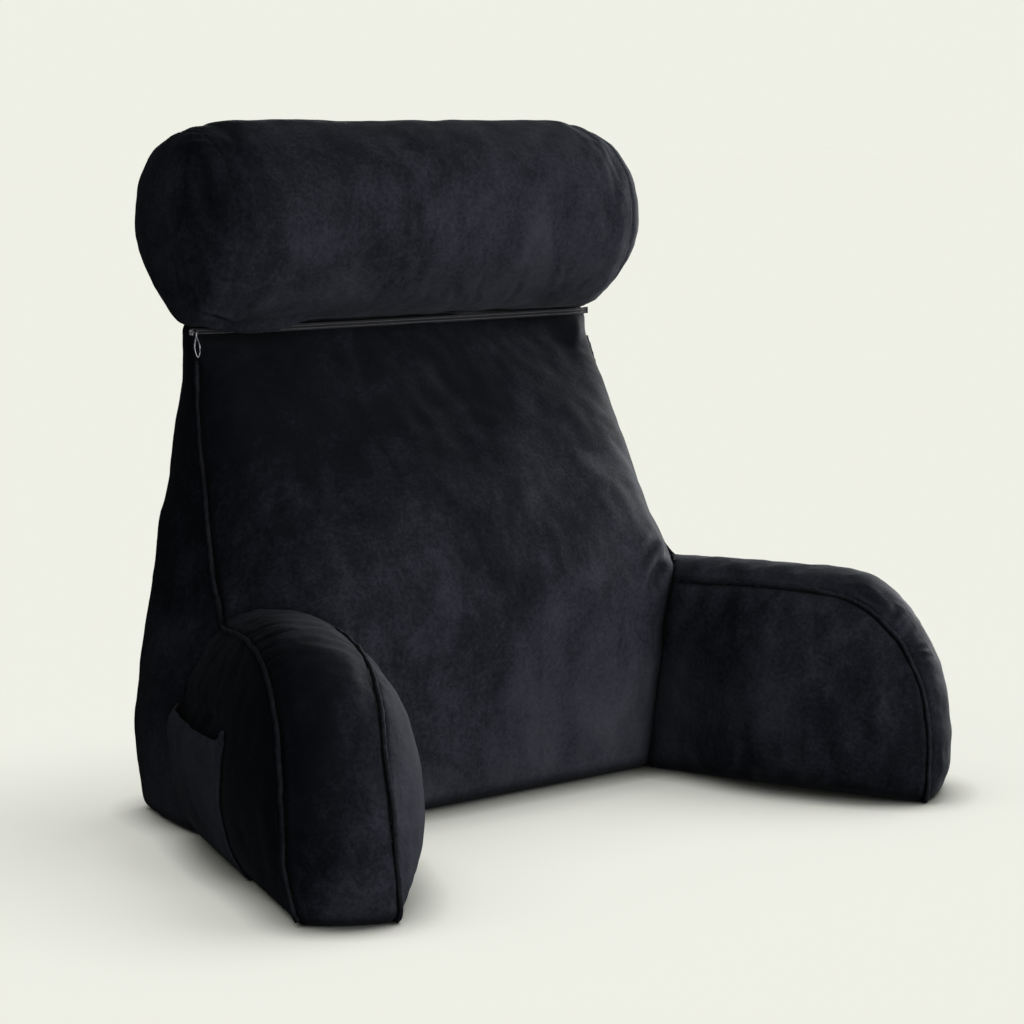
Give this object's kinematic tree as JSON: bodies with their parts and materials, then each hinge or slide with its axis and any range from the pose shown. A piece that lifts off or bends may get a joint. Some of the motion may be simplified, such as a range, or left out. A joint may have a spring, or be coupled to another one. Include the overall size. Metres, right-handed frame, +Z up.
{
  "type": "reading pillow with arms",
  "caption": "Velvet reading pillow: a filled wedge back with padded arms, a neck roll zipped along its top edge and a patch pocket on one arm.",
  "frame": {"origin": "on the floor under the middle of the whole pillow's box", "axes": "+Z up, the pillow faces -Y, +X is its right side as seen from the front"},
  "size_m": [0.7138, 0.4972, 0.5915],
  "materials": {
    "velvet": "near-black navy short-pile velvet, mottled by its nap, with a soft sheen at grazing angles",
    "piping_velvet": "the same velvet wrapped tightly round a cord",
    "zip_nylon": "dark woven tape and moulded nylon teeth, satin",
    "zip_metal": "dark enamelled metal, satin"
  },
  "bodies": {
    "root": {"back_cushion": "velvet", "neck_roll": "velvet", "arm_left": "velvet", "arm_right": "velvet", "pocket": "velvet", "piping_side_left": "piping_velvet", "piping_side_right": "piping_velvet", "piping_arm_left_inner": "piping_velvet", "piping_arm_left_outer": "piping_velvet", "piping_arm_right_inner": "piping_velvet", "piping_arm_right_outer": "piping_velvet", "zip_tape": "zip_nylon", "zip_teeth": "zip_nylon", "zip_slider": "zip_metal", "zip_pull": "zip_metal"}
  },
  "joints": []
}
